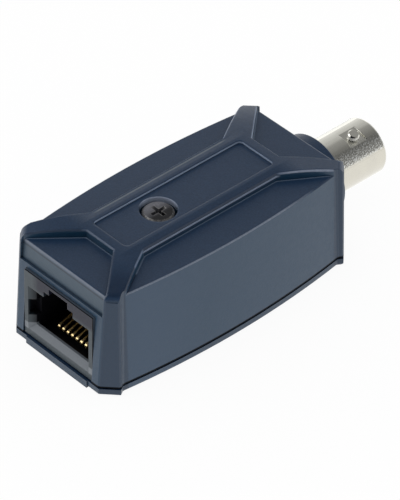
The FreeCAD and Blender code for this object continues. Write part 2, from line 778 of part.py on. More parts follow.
def coax_connector_body():
    """Bayonet connector shell: sleeve, lugs on their flats, flange and legs that straddle the board."""
    shell = axis_revolve([
        (0, flange_rear_y),
        (flange_radius, flange_rear_y),
        (flange_radius, flange_front_y),
        (sleeve_radius, flange_front_y),
        (sleeve_radius, connector_end_y - rim_round),
        (sleeve_radius - rim_round * 0.3, connector_end_y - rim_round * 0.3),
        (sleeve_radius - rim_round, connector_end_y),
        (sleeve_bore_radius + rim_round * 0.5, connector_end_y),
        (sleeve_bore_radius, connector_end_y - rim_round * 0.5),
        (sleeve_bore_radius, sleeve_floor_y),
        (0, sleeve_floor_y),
    ])
    axis_foot = Vector(0, lug_y, connector_height)
    lug_length = lug_tip_radius - sleeve_bore_radius - 0.1
    for turn in (lug_angle, lug_angle + 180):
        out = Vector(math.cos(math.radians(turn)), 0, math.sin(math.radians(turn)))
        flat = Part.makeBox(1.0, lug_flat_length, 2 * sleeve_radius,
                            Vector(sleeve_radius - lug_flat_depth, lug_y - lug_flat_length / 2,
                                   connector_height - sleeve_radius))
        flat.rotate(Vector(0, 0, connector_height), Vector(0, 1, 0), -turn)
        shell = shell.cut(flat)
        lug = Part.makeCylinder(lug_radius, lug_length, axis_foot + out * (sleeve_bore_radius + 0.1), out)
        tip = [e for e in lug.Edges if e.Closed and (e.CenterOfMass - axis_foot).Length > lug_tip_radius - 0.01]
        shell = shell.fuse(lug.makeChamfer(lug_edge_bevel, tip))
    legs = []
    for side in cross_sides:
        x0, x1 = sorted((side * (leg_spread - leg_width / 2), side * (leg_spread + leg_width / 2)))
        legs.append(box(x0, x1, flange_rear_y - leg_length, flange_rear_y + 0.1,
                        board_top, board_top + leg_height))
        legs.append(box(x0, x1, flange_rear_y - leg_length, flange_rear_y + 0.1,
                        board_bottom - leg_height, board_bottom))
    shell = fused([shell] + legs)
    core = Part.makeCylinder(core_radius, sleeve_floor_y - flange_rear_y + 2,
                             Vector(0, flange_rear_y - 1, connector_height), Vector(0, 1, 0))
    return shell.cut(core)


def coax_insulator():
    """White insulator: a plug through the shell, a disc on the sleeve's floor and a slim nose."""
    nose_start = sleeve_floor_y + insulator_base_length
    return axis_revolve([
        (contact_socket_radius, flange_rear_y),
        (core_radius, flange_rear_y),
        (core_radius, sleeve_floor_y),
        (insulator_base_radius, sleeve_floor_y),
        (insulator_base_radius, nose_start),
        (insulator_radius, nose_start),
        (insulator_radius, insulator_end_y),
        (contact_socket_radius, insulator_end_y),
    ])


def coax_centre_contact():
    """Gold socket with a solder pin that rests on the board."""
    socket_floor = centre_contact_end_y - contact_socket_depth
    return axis_revolve([
        (0, centre_pin_end_y),
        (centre_pin_radius, centre_pin_end_y),
        (centre_pin_radius, flange_rear_y),
        (contact_socket_radius, flange_rear_y),
        (contact_socket_radius, centre_contact_end_y),
        (contact_socket_bore, centre_contact_end_y),
        (contact_socket_bore, socket_floor),
        (0, socket_floor - contact_socket_bore),
    ])


def chip_package(size, at, z, direction, leads_per_side):
    """Moulded package with rows of gull-wing leads along its two long sides."""
    length, width, height = size
    x, y = at
    gap = lead_thickness / 2
    z0, z1 = sorted((z + direction * gap, z + direction * height))
    package = box(x - width / 2, x + width / 2, y - length / 2, y + length / 2, z0, z1)
    top = z + direction * height
    rim = [e for e in package.Edges if abs(e.BoundBox.ZMin - top) < 1e-6 and abs(e.BoundBox.ZMax - top) < 1e-6]
    pieces = [package.makeChamfer(part_skin, rim)]
    knee = z + direction * (gap + lead_thickness * 2)
    for side in cross_sides:
        for i in range(leads_per_side):
            lead_y = y + (i - (leads_per_side - 1) / 2) * lead_pitch
            body_x = x + side * (width / 2 - 0.05)
            foot_x = x + side * (width / 2 + lead_reach)
            bend_x = x + side * (width / 2 + lead_reach / 2)
            thick = direction * lead_thickness
            section = [
                (body_x, knee),
                (bend_x, knee),
                (bend_x, z),
                (foot_x, z),
                (foot_x, z + thick),
                (bend_x + side * lead_thickness, z + thick),
                (bend_x + side * lead_thickness, knee + thick),
                (body_x, knee + thick),
            ]
            points = [(px, lead_y - lead_width / 2, pz) for px, pz in section]
            pieces.append(prism(points, (0, lead_width, 0)))
    return fused(pieces)


def block_part(size, at, z, skin=part_skin):
    """Bevelled block that stands on the board."""
    length, width, height = size
    x, y = at
    body = box(x - width / 2, x + width / 2, y - length / 2, y + length / 2, z, z + height)
    top = z + height
    rim = [e for e in body.Edges if e.BoundBox.ZMin > top - 1e-6]
    return body.makeChamfer(skin, rim)


def power_inductor():
    """Square ferrite block with a round winding window around its core."""
    body = block_part(power_inductor_size, power_inductor_at, board_top)
    x, y = power_inductor_at
    top = board_top + power_inductor_size[2]
    window = power_inductor_size[0] / 2 - part_skin * 2
    ring = Part.makeCylinder(window, part_skin, Vector(x, y, top - part_skin))
    ring = ring.cut(Part.makeCylinder(window * 0.75, part_skin, Vector(x, y, top - part_skin)))
    return body.cut(ring)


def surge_arrester():
    """Gas-filled tube lying on the board between two end caps."""
    x, y = surge_arrester_at
    r = surge_arrester_radius
    half = surge_arrester_length / 2
    cap = surge_arrester_length / 5
    centre = Vector(x, y - half, board_top + r)
    body = Part.makeCylinder(r - part_skin / 2, surge_arrester_length, centre, Vector(0, 1, 0))
    for start in (y - half, y + half - cap):
        body = body.fuse(Part.makeCylinder(r, cap, Vector(x, start, board_top + r), Vector(0, 1, 0)))
        body = body.fuse(box(x - r, x + r, start, start + cap, board_top, board_top + part_skin))
    return body.removeSplitter()


def filter_capacitors():
    """Upright can capacitors on square bases."""
    cans = []
    for x, y in capacitor_at:
        base = block_part((2 * capacitor_radius, 2 * capacitor_radius, 2 * part_skin), (x, y), board_top,
                          part_skin / 2)
        can = Part.makeCylinder(capacitor_radius, capacitor_height - part_skin, Vector(x, y, board_top + part_skin))
        rim = [e for e in can.Edges if e.BoundBox.ZMin > board_top + capacitor_height - 1e-6]
        cans.append(fused([base, can.makeChamfer(part_skin / 2, rim)]))
    return cans


def build_all():
    """Every piece by the name of its node."""
    contacts = jack_contacts()
    nodes = {
        "top_housing": top_housing(),
        "bottom_cover": bottom_cover(),
        "cover_screw": cover_screw(),
        "jack_housing": jack_housing(),
        "jack_contact_carrier": jack_contact_carrier(),
        "circuit_board": circuit_board(),
        "bnc_body": coax_connector_body(),
        "bnc_insulator": coax_insulator(),
        "bnc_centre_contact": coax_centre_contact(),
        "lan_transformer": chip_package(lan_transformer_size, lan_transformer_at, board_top, 1, 8),
        "modem_chip": chip_package(modem_chip_size, modem_chip_at, board_bottom, -1, 7),
        "coax_transformer": chip_package(coax_transformer_size, coax_transformer_at, board_top, 1, 3),
        "crystal": block_part(crystal_size, crystal_at, board_top, part_skin / 2),
        "surge_arrester": surge_arrester(),
        "power_inductor": power_inductor(),
    }
    for i, contact in enumerate(contacts):
        nodes["jack_contact_%d" % (i + 1)] = contact
    for i, can in enumerate(filter_capacitors()):
        nodes["filter_capacitor_%d" % (i + 1)] = can
    return nodes


def main():
    os.makedirs("parts", exist_ok=True)
    for name, shape in build_all().items():
        shape.exportStep("parts/%s.step" % name)
        print(name, "solids", len(shape.Solids), "valid", shape.isValid(), "mm3 %.1f" % shape.Volume)


main()
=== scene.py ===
import bpy
import json
import math
from mathutils import Matrix, Vector

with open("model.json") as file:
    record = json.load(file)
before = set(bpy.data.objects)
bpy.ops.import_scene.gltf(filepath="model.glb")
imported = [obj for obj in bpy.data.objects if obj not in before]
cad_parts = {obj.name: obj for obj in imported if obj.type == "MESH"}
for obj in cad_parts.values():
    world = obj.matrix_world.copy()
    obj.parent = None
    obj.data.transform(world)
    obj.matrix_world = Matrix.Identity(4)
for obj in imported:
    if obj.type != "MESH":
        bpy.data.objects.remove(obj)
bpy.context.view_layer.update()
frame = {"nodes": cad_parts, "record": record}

MM = 0.001
nodes = frame["nodes"]

# The photograph's camera, in millimetres and degrees
CAMERA_AIM = (0.0, 0.0, 10.0)
CAMERA_AZIMUTH = 46.299
CAMERA_ELEVATION = 39.476
CAMERA_ROLL = 1.420
CAMERA_DISTANCE = 595.861
CAMERA_SLIDE = (2.587, -1.222)
CAMERA_FOCAL_PIXELS = 3902.297
PICTURE_HEIGHT = 500
SENSOR = 36.0


def look_matrix():
    """The camera's place: out from the aim point along azimuth and elevation, rolled about
    its view line."""
    a, e, r = (math.radians(v) for v in (CAMERA_AZIMUTH, CAMERA_ELEVATION, CAMERA_ROLL))
    back = Vector((math.sin(a) * math.cos(e), -math.cos(a) * math.cos(e), math.sin(e)))
    right = Vector((math.cos(a), math.sin(a), 0))
    up = back.cross(right)
    rolled_right = right * math.cos(r) + up * math.sin(r)
    rolled_up = up * math.cos(r) - right * math.sin(r)
    place = Vector(CAMERA_AIM) + back * CAMERA_DISTANCE
    place += rolled_right * CAMERA_SLIDE[0] + rolled_up * CAMERA_SLIDE[1]
    turn = Matrix((rolled_right, rolled_up, back)).transposed().to_4x4()
    return Matrix.Translation(place * MM) @ turn


def make_camera():
    data = bpy.data.cameras.new("camera")
    data.sensor_fit = "AUTO"
    data.sensor_width = SENSOR
    data.lens = CAMERA_FOCAL_PIXELS * SENSOR / PICTURE_HEIGHT
    data.clip_start = 0.01
    data.clip_end = 10.0
    camera = bpy.data.objects.new("camera", data)
    camera.matrix_world = look_matrix()
    bpy.context.scene.collection.objects.link(camera)
    bpy.context.scene.camera = camera


# Material building

class Finish:
    """A material with one Principled shader and short ways to wire patterns into it."""

    def __init__(self, name):
        self.material = bpy.data.materials.new(name)
        self.material.use_nodes = True
        self.tree = self.material.node_tree
        self.tree.nodes.clear()
        self.output = self.add("ShaderNodeOutputMaterial")
        self.shader = self.add("ShaderNodeBsdfPrincipled")
        self.join(self.shader.outputs[0], self.output.inputs["Surface"])
        self.place = self.add("ShaderNodeTexCoord").outputs["Object"]

    def add(self, kind, **settings):
        node = self.tree.nodes.new(kind)
        for key, value in settings.items():
            setattr(node, key, value)
        return node

    def join(self, source, target):
        self.tree.links.new(source, target)

    def feed(self, name, source):
        """Join a pattern to one of the shader's sockets."""
        self.join(source, self.shader.inputs[name])

    def set(self, **values):
        """Plain values straight on the shader's sockets; underscores stand for spaces."""
        for key, value in values.items():
            self.shader.inputs[key.replace("_", " ")].default_value = value

    def noise(self, size_mm, detail=2.0, stretch=None, roughness=0.5):
        """Noise whose blobs are about size_mm across."""
        place = self.place
        if stretch:
            mapping = self.add("ShaderNodeMapping")
            mapping.inputs["Scale"].default_value = stretch
            self.join(place, mapping.inputs["Vector"])
            place = mapping.outputs[0]
        node = self.add("ShaderNodeTexNoise")
        node.inputs["Scale"].default_value = 1.0 / (size_mm * MM)
        node.inputs["Detail"].default_value = detail
        node.inputs["Roughness"].default_value = roughness
        self.join(place, node.inputs["Vector"])
        return node.outputs["Fac"]

    def cells(self, size_mm):
        """Cell pattern whose cells are about size_mm across."""
        node = self.add("ShaderNodeTexVoronoi")
        node.inputs["Scale"].default_value = 1.0 / (size_mm * MM)
        self.join(self.place, node.inputs["Vector"])
        return node.outputs["Distance"]

    def spread(self, source, low, high, from_low=0.3, from_high=0.7):
        """The pattern's values stretched to run from low to high."""
        node = self.add("ShaderNodeMapRange")
        limits = {"From Min": from_low, "From Max": from_high, "To Min": low, "To Max": high}
        for key, value in limits.items():
            node.inputs[key].default_value = value
        self.join(source, node.inputs["Value"])
        return node.outputs[0]

    def along(self, axis, start_mm, end_mm, low=0.0, high=1.0):
        """A value that runs from low to high between two places on an axis of the object."""
        split = self.add("ShaderNodeSeparateXYZ")
        self.join(self.place, split.inputs[0])
        return self.spread(split.outputs[axis], low, high, start_mm * MM, end_mm * MM)

    def math(self, operation, a, b):
        node = self.add("ShaderNodeMath", operation=operation)
        for socket, value in zip(node.inputs, (a, b)):
            if isinstance(value, (int, float)):
                socket.default_value = value
            else:
                self.join(value, socket)
        return node.outputs[0]

    def colours(self, source, dark, light, from_low=0.3, from_high=0.7):
        """A blend from one colour to another by a pattern."""
        return self.mix_colours(self.spread(source, 0.0, 1.0, from_low, from_high), dark, light)

    def mix_colours(self, factor, first, second):
        """Blend two colours, each a socket or plain values."""
        node = self.add("ShaderNodeMix", data_type="RGBA")
        sockets = {s.identifier: s for s in node.inputs}
        for key, value in (("A_Color", first), ("B_Color", second)):
            if isinstance(value, tuple):
                sockets[key].default_value = (*value, 1)
            else:
                self.join(value, sockets[key])
        self.join(factor, sockets["Factor_Float"])
        return next(s for s in node.outputs if s.identifier == "Result_Color")

    def layered(self, base, *layers):
        """Lay colours over a base one after another, each given as (factor, colour)."""
        for factor, colour in layers:
            base = self.mix_colours(factor, base, colour)
        return base

    def bumps(self, *layers, edge_mm=0.0, shapes=()):
        """Stack (pattern, depth in mm) layers of fine relief, and broad (height in metres, share)
        shapes, over softly rounded edges."""
        normal = None
        if edge_mm:
            edge = self.add("ShaderNodeBevel", samples=8)
            if isinstance(edge_mm, float):
                edge.inputs["Radius"].default_value = edge_mm * MM
            else:
                self.join(edge_mm, edge.inputs["Radius"])
            normal = edge.outputs[0]
        reliefs = [(pattern, depth * MM, None) for pattern, depth in layers]
        reliefs += [(height, 1.0, share) for height, share in shapes]
        for pattern, depth, share in reliefs:
            bump = self.add("ShaderNodeBump")
            bump.inputs["Strength"].default_value = 1.0
            if share:
                self.join(share, bump.inputs["Strength"])
            bump.inputs["Distance"].default_value = depth
            self.join(pattern, bump.inputs["Height"])
            if normal:
                self.join(normal, bump.inputs["Normal"])
            normal = bump.outputs[0]
        if normal:
            self.feed("Normal", normal)

    def both(self, first, *others):
        """The product of factors, each a socket or a plain share."""
        for other in others:
            first = self.math("MULTIPLY", first, other)
        return first

    def band(self, axis, start_mm, end_mm, soft_mm=0.08):
        """One between two places on an axis, with soft ends."""
        rise = self.along(axis, start_mm - soft_mm, start_mm)
        return self.both(rise, self.along(axis, end_mm + soft_mm, end_mm))

    def outer(self, axis, start_mm, end_mm):
        """Runs from none to one outward on both sides of the middle."""
        right = self.along(axis, start_mm, end_mm)
        return self.math("MAXIMUM", right, self.along(axis, -start_mm, -end_mm))

    def without(self, factor, *masks):
        """The factor kept only where every mask is none."""
        for mask in masks:
            factor = self.both(factor, self.math("SUBTRACT", 1.0, mask))
        return factor

    def edges(self, size_mm, inside, closed_share=0.5, open_share=0.9):
        """How strongly a point lies on an outer edge (the body seen from inside) or in a crease."""
        near = self.add("ShaderNodeAmbientOcclusion", samples=8, inside=inside, only_local=inside)
        near.inputs["Distance"].default_value = size_mm * MM
        return self.spread(near.outputs["AO"], 1.0, 0.0, closed_share, open_share)


# Places on the shell in millimetres, where along an axis a finish starts and where it is full
SCREW_PLACE = (0.0, -5.25)
COUNTERBORE_EDGE = (3.1, 3.0)
COUNTERBORE_ABOVE = (18.2, 18.3)
COUNTERBORE_BACK = ((2.9, -2.9), (-8.15, -2.35))
CORNER = ((9.3, 9.5), (21.3, 21.6))
COVER_BELOW = (1.46, 1.42)
SEAM = (1.45, 1.78)
NEAR_WALL = ((9.6, 10.2), (-6.0, -18.0))
NEAR_RIB = ((5.5, 8.5), (-17.5, -21.0), (18.4, 18.6))
NEAR_RIB_FOOT = ((3.6, 4.4), (-17.0, -17.4))
RIBS_NEAR_END = ((-17.2, -17.6), (18.6, 18.8))
FACET_BELOW = (18.45, 18.35)
FACET_ABOVE = (18.0, 18.05)
ROOF_ABOVE = (18.6, 19.0)
FAR_END = (10.0, 17.0)
FAR_CORNER = ((13.5, 15.5), (5.0, 5.5))
RIGHT_BAR = ((5.7, 5.8), (18.6, 18.7), (13.6, 14.2))
RIGHT_BAR_WALL = (18.6, 19.44, 0.05)
RIGHT_BAR_LINE = (19.02, 19.32, 0.06)
END_BAR_ENDS = (4.0, 4.8)
NEAR_BAR = (-16.0, -16.8)
FAR_BAR = (16.0, 16.8)
LEFT_BAR_LINE = (-5.42, -5.22, 0.08)
LEFT_BAR_LINE_ENDS = (12.6, 13.8)
LEFT_BAR_STRIP = (-5.46, -5.56)
LEFT_BAR_STRIP_ENDS = (14.0, 15.5)
FRAME_ABOVE = (19.3, 19.5)
PANEL_RIM = (19.34, 19.60, 0.05)
PANEL_RIM_ENDS = ((4.6, 4.7), (15.5, 15.6))
PANEL_ENDS = ((3.9, 4.0), (15.25, 15.35))
PANEL_ABOVE = (19.0, 19.1)
BROW_FRONT = (-23.88, -23.98)
BROW_EDGE_FRONT = (-23.80, -23.92)
BROW_FACE = (14.8, 17.6, 0.2)
BROW_EDGE = (17.74, 18.2, 0.06)
BROW_GROOVE = (17.34, 17.52, 0.08)
BROW_ENDS = (9.15, 9.4)
BROW_EDGE_ENDS = (9.0, 9.3)
# Shares of a face's normal that point up
UPRIGHT = (-0.3, 0.3)
LEVEL = (0.93, 1.1)
CHAMFERED = (0.45, 0.85)
SLANT_SOFT = 0.03

SHELL_COLOURS = {
    "grain_dark": (0.0082, 0.0250, 0.0590),
    "grain_light": (0.0130, 0.0356, 0.0790),
    "flow_marks": (0.016, 0.036, 0.080),
    # Painted light: the walls tinted to their lit colour
    "wall": (0.003, 0.036, 0.075),
    "cover": (0.001, 0.014, 0.036),
    # Painted light on the near wall, painted shade on the corner columns
    "near_wall": (0.015, 0.044, 0.088),
    "column": (0.002, 0.013, 0.038),
    # Painted highlights along the ridges and chamfers
    "ridge_low": (0.070, 0.095, 0.135),
    "ridge_high": (0.028, 0.052, 0.104),
    "ridge_near_rib": (0.006, 0.018, 0.044),
    "facet_ridge": (0.002, 0.010, 0.030),
    "chamfer_low": (0.160, 0.190, 0.245),
    "chamfer_high": (0.096, 0.136, 0.214),
    "chamfer_far_corner": (0.210, 0.245, 0.320),
    "chamfer_right_bar": (0.030, 0.046, 0.080),
    "chamfer_near_bar": (0.060, 0.088, 0.144),
    "chamfer_far_bar": (0.170, 0.215, 0.300),
    "chamfer_near_rib": (0.024, 0.040, 0.072),
    # Painted light on the brow's face, a painted highlight on its edge, painted shade in its groove
    "brow": (0.029, 0.056, 0.086),
    "brow_edge": (0.120, 0.145, 0.190),
    "brow_groove": (0.006, 0.012, 0.026),
    # Painted highlights on the left bar and the panel rim
    "left_bar_line": (0.092, 0.115, 0.142),
    "panel_rim": (0.240, 0.310, 0.440),
    # Painted shade in the creases
    "crease": (0.002, 0.006, 0.018),
    # Painted light on the counterbore's back wall and the right bar's wall
    "counterbore": (0.340, 0.390, 0.500),
    "right_bar_wall": (0.026, 0.036, 0.062),
    # Painted highlights along the right bar and the facets' feet
    "right_bar_line": (0.230, 0.280, 0.380),
    "foot": (0.130, 0.180, 0.260),
    "seam": (0.001, 0.002, 0.004),
}
# The tops' crown: axis, where it starts and is full, how far it reaches, its slope
SIDE_CROWN = (("X", 4.4, 4.7, 9.0, 0.26), ("X", -4.4, -4.7, -9.0, 0.20))
END_CROWN = (("Y", -14.2, -18.0, -25.0, 0.208), ("Y", 14.2, 18.0, 25.0, 0.18))
SIDE_CROWN_ENDS = (14.5, 17.5)
CROWN_ABOVE = (18.40, 18.55)


def around(f, place, outer_mm, inner_mm):
    """One inside a circle in plan about a place, fading to none at the outer radius."""
    shift = f.add("ShaderNodeVectorMath", operation="SUBTRACT")
    f.join(f.place, shift.inputs[0])
    shift.inputs[1].default_value = (place[0] * MM, place[1] * MM, 0.0)
    flat = f.add("ShaderNodeVectorMath", operation="MULTIPLY")
    f.join(shift.outputs[0], flat.inputs[0])
    flat.inputs[1].default_value = (1.0, 1.0, 0.0)
    length = f.add("ShaderNodeVectorMath", operation="LENGTH")
    f.join(flat.outputs[0], length.inputs[0])
    return f.spread(length.outputs["Value"], 0.0, 1.0, outer_mm * MM, inner_mm * MM)


def slant(f, low, high):
    """One where the share of the face's normal that points up lies between two values."""
    split = f.add("ShaderNodeSeparateXYZ")
    f.join(f.add("ShaderNodeNewGeometry").outputs["True Normal"], split.inputs[0])
    rise = f.spread(split.outputs["Z"], 0.0, 1.0, low - SLANT_SOFT, low)
    return f.both(rise, f.spread(split.outputs["Z"], 1.0, 0.0, high, high + SLANT_SOFT))


def crowned_tops(f):
    """The top bars' crown: the side bars fall outward, the end bars and ribs fall towards the
    ends, each by its own slope and with a soft start, only where the surface is level and
    above the facets."""
    level = f.both(slant(f, *LEVEL), f.along("Z", *CROWN_ABOVE))
    beside = f.without(level, f.outer("Y", *SIDE_CROWN_ENDS))
    shapes = []
    for crowns, where in ((SIDE_CROWN, beside), (END_CROWN, level)):
        for axis, start, full, far, slope in crowns:
            height = f.along(axis, 0.0, far, 0.0, -slope * abs(far) * MM)
            shapes.append((height, f.both(f.along(axis, start, full), where)))
    return shapes


def shell_grain_and_painted_light(f, upright, corner):
    """The shell's grain and flow marks, with painted light on the walls and near wall, painted
    shade on the corner columns and near rib, and the cover's walls darker low down.
    """
    colour = SHELL_COLOURS
    grain = f.noise(0.28, 2.0, roughness=0.7)
    ground = f.colours(grain, colour["grain_dark"], colour["grain_light"], 0.35, 0.65)
    near_wall = f.both(upright, f.along("X", *NEAR_WALL[0]), f.along("Y", *NEAR_WALL[1]))
    rib = f.both(*(f.along(axis, *limits) for axis, limits in zip("XYZ", NEAR_RIB)))
    # Painted shade: the corner columns' walls and the near rib darkened
    dark = f.math("MAXIMUM", f.both(corner, upright, 0.5), f.both(rib, 0.7))
    return f.layered(
        ground,
        (f.spread(f.noise(6.0, 3.0), 0.0, 0.12), colour["flow_marks"]),
        # Painted light: the walls tinted to their lit colour, the near wall lighter; the cover's
        # walls darker low down
        (f.both(upright, 0.6), colour["wall"]),
        (f.both(upright, f.along("Z", *COVER_BELOW, 0.0, 0.4)), colour["cover"]),
        (f.both(f.without(near_wall, corner), 0.9), colour["near_wall"]),
        (dark, colour["column"]),
    )


def ridge_highlight_colour(f, on_facet):
    """The colour of the painted highlights on the ridges, paler low down, dark on the near ribs and
    the facets.
    """
    colour = SHELL_COLOURS
    near_ribs = f.both(f.along("Y", *RIBS_NEAR_END[0]), f.along("Z", *RIBS_NEAR_END[1]))
    return f.layered(
        colour["ridge_low"],
        (f.along("Z", *ROOF_ABOVE), colour["ridge_high"]),
        (near_ribs, colour["ridge_near_rib"]),
        (on_facet, colour["facet_ridge"]),
    )


def chamfer_highlight_colour(f, right_bar):
    """The colour of the painted highlight lines on the chamfers, by the bar or rib that they run
    along.
    """
    colour = SHELL_COLOURS
    end_bars = f.without(f.along("Z", *ROOF_ABOVE), f.outer("X", *END_BAR_ENDS))
    near_ribs = f.both(f.along("Y", *RIBS_NEAR_END[0]), f.along("Z", *RIBS_NEAR_END[1]))
    far_corner = f.both(f.along("Y", *FAR_CORNER[0]), f.along("X", *FAR_CORNER[1]))
    return f.layered(
        colour["chamfer_low"],
        (f.along("Z", *ROOF_ABOVE), colour["chamfer_high"]),
        (far_corner, colour["chamfer_far_corner"]),
        (right_bar, colour["chamfer_right_bar"]),
        (f.both(f.along("Y", *NEAR_BAR), end_bars), colour["chamfer_near_bar"]),
        (f.both(f.along("Y", *FAR_BAR), end_bars), colour["chamfer_far_bar"]),
        (near_ribs, colour["chamfer_near_rib"]),
    )


def shell_plastic():
    """Navy moulded plastic: spark-eroded grain, faint flow marks, painted highlights along the
    edges, painted shade in the creases, crowned top bars."""
    f = Finish("shell_plastic")
    colour = SHELL_COLOURS
    speck = f.noise(0.35, 2.0)
    highlight_breakup = f.spread(speck, 0.75, 1.0)
    upright = slant(f, *UPRIGHT)
    corner = f.both(f.outer("X", *CORNER[0]), f.outer("Y", *CORNER[1]))
    on_facet = f.both(slant(f, *LEVEL), f.along("Z", *FACET_BELOW))
    right_bar = f.without(f.along("Z", *RIGHT_BAR[1]), f.outer("Y", *RIGHT_BAR[2]))
    right_bar = f.both(f.along("X", *RIGHT_BAR[0]), right_bar)

    # Painted highlights on the edges, chamfers, brow edge, left bar and panel rim; painted light on
    # the brow's face and painted shade in its groove
    ridge = f.without(f.both(f.edges(0.3, True), highlight_breakup, 0.6), corner)
    far_end = f.both(f.along("Y", *FAR_END), f.along("Z", *reversed(ROOF_ABOVE)))
    chamfer = f.without(f.both(slant(f, *CHAMFERED), highlight_breakup), corner, far_end)
    front = f.without(f.along("Y", *BROW_FRONT), f.outer("X", *BROW_ENDS))
    brow_edge = f.both(f.along("Y", *BROW_EDGE_FRONT), f.band("Z", *BROW_EDGE), highlight_breakup)
    brow_edge = f.without(brow_edge, f.outer("X", *BROW_EDGE_ENDS))
    line = f.both(f.band("X", *LEFT_BAR_LINE), f.along("Z", *FRAME_ABOVE))
    line = f.without(line, f.outer("Y", *LEFT_BAR_LINE_ENDS))
    rim = f.both(upright, f.band("Z", *PANEL_RIM))
    for axis, ends in zip("XY", PANEL_RIM_ENDS):
        rim = f.without(rim, f.outer(axis, *ends))
    highlighted = f.layered(
        shell_grain_and_painted_light(f, upright, corner),
        (ridge, ridge_highlight_colour(f, on_facet)),
        (chamfer, chamfer_highlight_colour(f, right_bar)),
        (f.both(front, f.band("Z", *BROW_FACE)), colour["brow"]),
        (f.both(brow_edge, 0.8), colour["brow_edge"]),
        (f.both(front, f.band("Z", *BROW_GROOVE), 0.7), colour["brow_groove"]),
        (f.both(line, highlight_breakup), colour["left_bar_line"]),
        (rim, colour["panel_rim"]),
    )

    # Painted shade in the creases, painted light on the counterbore's back wall and the right bar's
    # wall, painted highlights along the right bar and the facets' feet
    back = f.math("ADD", *(f.along(axis, *ends) for axis, ends in zip("XY", COUNTERBORE_BACK)))
    hole = f.both(around(f, SCREW_PLACE, *COUNTERBORE_EDGE), f.spread(back, 0.0, 1.0, 1.05, 1.45))
    hole = f.both(hole, f.along("Z", *COUNTERBORE_ABOVE))
    panel = f.along("Z", *PANEL_ABOVE)
    for axis, ends in zip("XY", PANEL_ENDS):
        panel = f.without(panel, f.outer(axis, *ends))
    shade = f.without(f.both(f.edges(0.4, False), 0.65), f.math("MAXIMUM", hole, rim))
    shade = f.without(shade, f.both(panel, 0.5))
    bar_wall = f.both(upright, f.band("Z", *RIGHT_BAR_WALL), right_bar)
    foot = f.both(f.edges(0.45, False, 0.68, 0.82), on_facet, f.along("Z", *FACET_ABOVE))
    rib_foot = f.both(f.along("X", *NEAR_RIB_FOOT[0]), f.along("Y", *NEAR_RIB_FOOT[1]))
    seam = f.band("Z", *SEAM)
    shaded = f.layered(
        highlighted,
        (shade, colour["crease"]),
        (f.both(hole, 0.8), colour["counterbore"]),
        (f.both(bar_wall, 0.6), colour["right_bar_wall"]),
        (f.both(bar_wall, f.band("Z", *RIGHT_BAR_LINE)), colour["right_bar_line"]),
        (f.both(f.without(foot, rib_foot), 0.8), colour["foot"]),
        (seam, colour["seam"]),
    )
    f.feed("Base Color", shaded)

    strip = f.without(f.along("Z", *FRAME_ABOVE), f.outer("Y", *LEFT_BAR_STRIP_ENDS))
    strip = f.both(f.along("X", *LEFT_BAR_STRIP), strip)
    dull = f.math("MAXIMUM", f.both(shade, 0.4), f.both(seam, 0.45))
    dull = f.math("MAXIMUM", dull, f.both(strip, 0.2))
    f.feed("Specular IOR Level", f.math("SUBTRACT", 0.5, dull))
    f.feed("Roughness", f.spread(f.noise(0.9, 4.0), 0.36, 0.44))
    rounding = f.along("Z", 18.9, 19.35, 0.12 * MM, 0.5 * MM)
    grain = f.noise(0.16, 3.0, roughness=0.6)
    f.bumps((grain, 0.012), (speck, 0.012), edge_mm=rounding, shapes=crowned_tops(f))
    f.set(IOR=1.47)
    return f.material


# Places on the jack in millimetres
JACK_TOP_BAR = ((-6.0, -4.5), (11.0, 11.8))
JACK_SILL = ((4.0, 3.8), (2.6, 2.75), (-23.95, -24.05))
JACK_DEPTH = (-25.15, -24.3)
JACK_OUTSIDE = ((7.60, 7.66), (13.72, 13.78))
JACK_SKIN = (-25.33, -25.30)
JACK_BACK = (-25.16, -25.12)


def jack_plastic():
    """Dark grey glass-filled plastic with faint sink marks; the mouth's inside darkened as painted
    shade, its sill made pale as painted light."""
    f = Finish("jack_plastic")
    fibre = f.noise(0.3, 3.0, stretch=(1.0, 0.35, 1.0))
    face = f.colours(f.noise(2.5, 3.0), (0.024, 0.037, 0.047), (0.030, 0.044, 0.054))
    top_bar = f.both(f.along("Z", *JACK_TOP_BAR[1]), f.along("X", *JACK_TOP_BAR[0]))
    sill = f.both(f.along("Z", *JACK_SILL[0]), f.along("Z", *JACK_SILL[1]))
    sill = f.both(sill, f.along("Y", *JACK_SILL[2]))
    depth = f.without(f.along("Y", *JACK_DEPTH), sill)
    outside = f.outer("X", *JACK_OUTSIDE[0])
    outside = f.math("MAXIMUM", outside, f.along("Z", *JACK_OUTSIDE[1]))
    skin = f.both(outside, f.along("Y", *JACK_SKIN))
    back = f.both(outside, f.along("Y", *JACK_BACK))
    base = f.layered(
        face,
        # Painted shade: the mouth's top bar darkened
        (f.both(top_bar, 0.95), (0.004, 0.005, 0.018)),
        # Painted light: the upward-facing sill made pale
        (sill, (0.150, 0.168, 0.190)),
        # Painted highlights on the edges
        (f.both(f.edges(0.15, True), 0.5), (0.09, 0.09, 0.095)),
        # Painted shade: the inside of the mouth darkened
        (depth, (0.004, 0.004, 0.006)),
        # Painted shade: the outer sides next to the face darkened as a shadowed gap
        (skin, (0.001, 0.001, 0.002)),
        # Painted light: the outer sides further back lighter
        (back, (0.055, 0.074, 0.100)),
    )
    f.feed("Base Color", base)
    f.feed("Roughness", f.spread(fibre, 0.34, 0.46))
    dull = f.math("MAXIMUM", f.without(depth, skin), f.both(top_bar, 0.5))
    f.feed("Specular IOR Level", f.math("SUBTRACT", 0.36, f.both(dull, 0.22)))
    f.bumps((fibre, 0.006), edge_mm=0.08)
    return f.material


